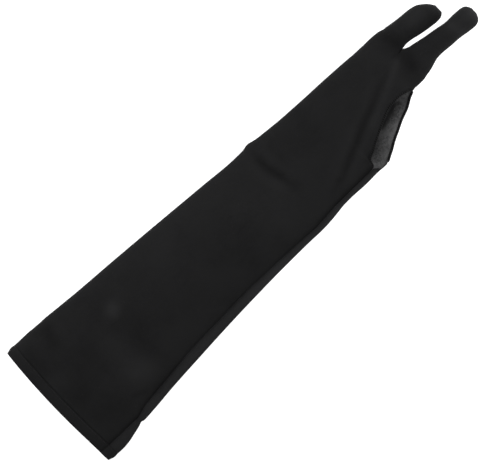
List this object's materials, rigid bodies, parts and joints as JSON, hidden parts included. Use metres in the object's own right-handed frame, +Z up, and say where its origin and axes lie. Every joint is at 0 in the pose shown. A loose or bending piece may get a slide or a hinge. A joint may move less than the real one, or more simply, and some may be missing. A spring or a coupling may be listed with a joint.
{
  "type": "drawing glove",
  "caption": "Two-finger drawing glove of thin dark stretch knit with a long forearm sleeve, an open side for thumb and first fingers, and a turned cuff hem.",
  "frame": {"origin": "middle of the base: centre of the box round the glove, on the surface it lies on", "axes": "+X from the cuff to the finger ends, +Y towards the closed side with the little finger, -Y the thumb side, +Z up from the surface"},
  "size_m": [0.4616, 0.1206, 0.0116],
  "materials": {
    "top_panel": "fine matt stretch knit",
    "under_panel": "fine matt stretch knit",
    "cuff_hem": "turned knit hem",
    "opening_hem_top": "narrow rolled hem",
    "opening_hem_under": "narrow rolled hem"
  },
  "bodies": {
    "root": {"top_panel": "top_panel", "under_panel": "under_panel", "cuff_hem": "cuff_hem", "opening_hem_top": "opening_hem_top", "opening_hem_under": "opening_hem_under"}
  },
  "joints": []
}
